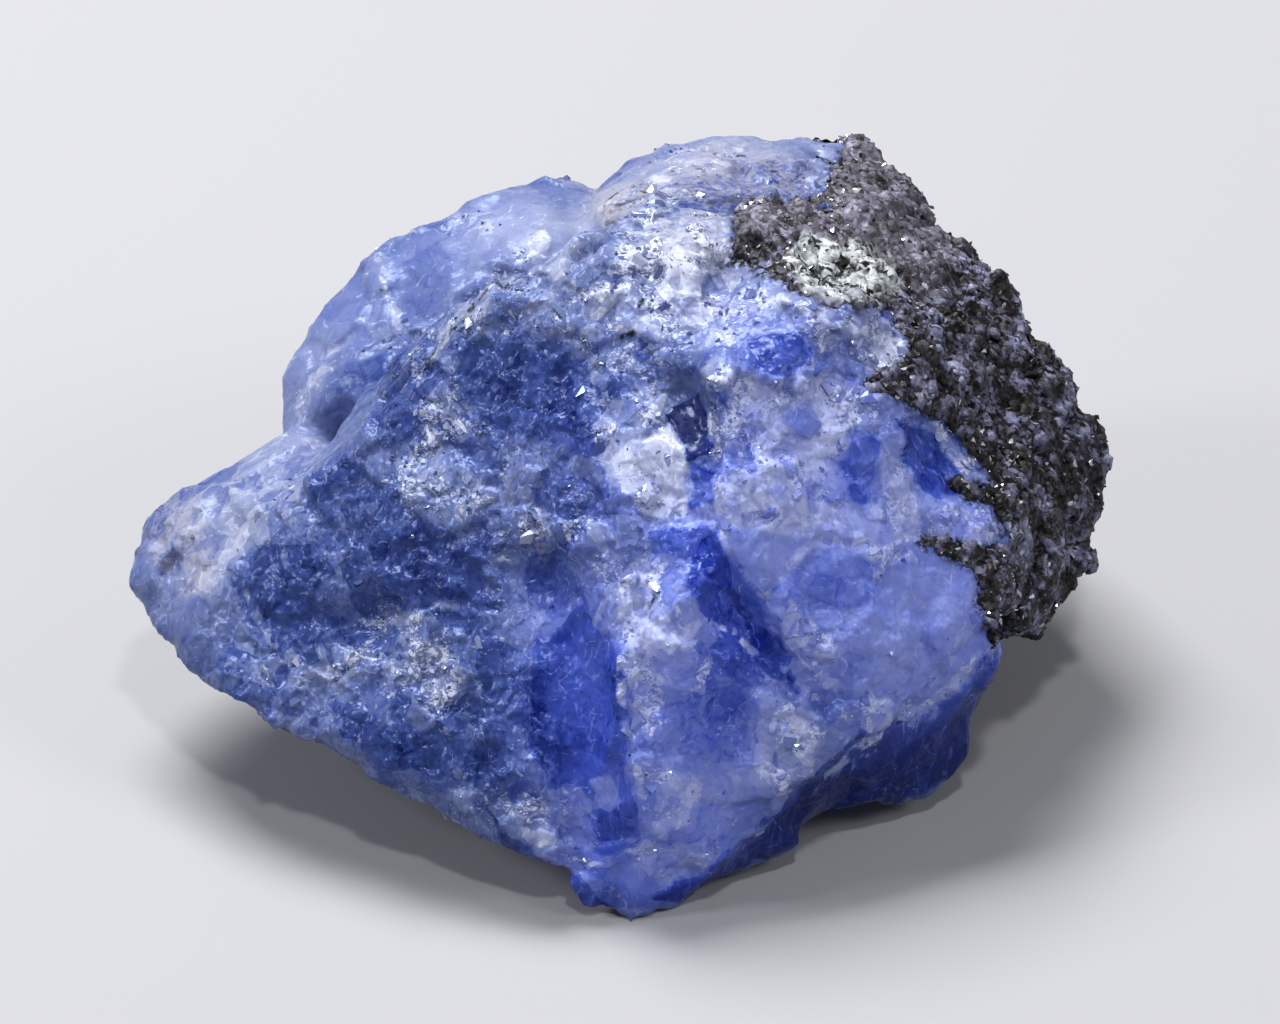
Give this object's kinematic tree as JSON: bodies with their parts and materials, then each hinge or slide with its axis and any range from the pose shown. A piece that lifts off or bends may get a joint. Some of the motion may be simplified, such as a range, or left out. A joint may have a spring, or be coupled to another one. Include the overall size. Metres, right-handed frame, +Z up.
{
  "type": "rough tanzanite",
  "caption": "Broken lump of rough blue tanzanite crystal with grey graphite schist along one side, resting on a small flat spot.",
  "frame": {"origin": "on the floor under the middle of the stone's bounding box", "axes": "+X to the right along the stone's longest extent, +Y away from the viewer of the picture, +Z up"},
  "size_m": [0.0268, 0.022, 0.0149],
  "materials": {
    "tanzanite": "broken translucent blue crystal, glassy on its splits, with dark flaky graphite schist on the right and back"
  },
  "bodies": {
    "root": {"tanzanite_stone": "tanzanite"}
  },
  "joints": []
}
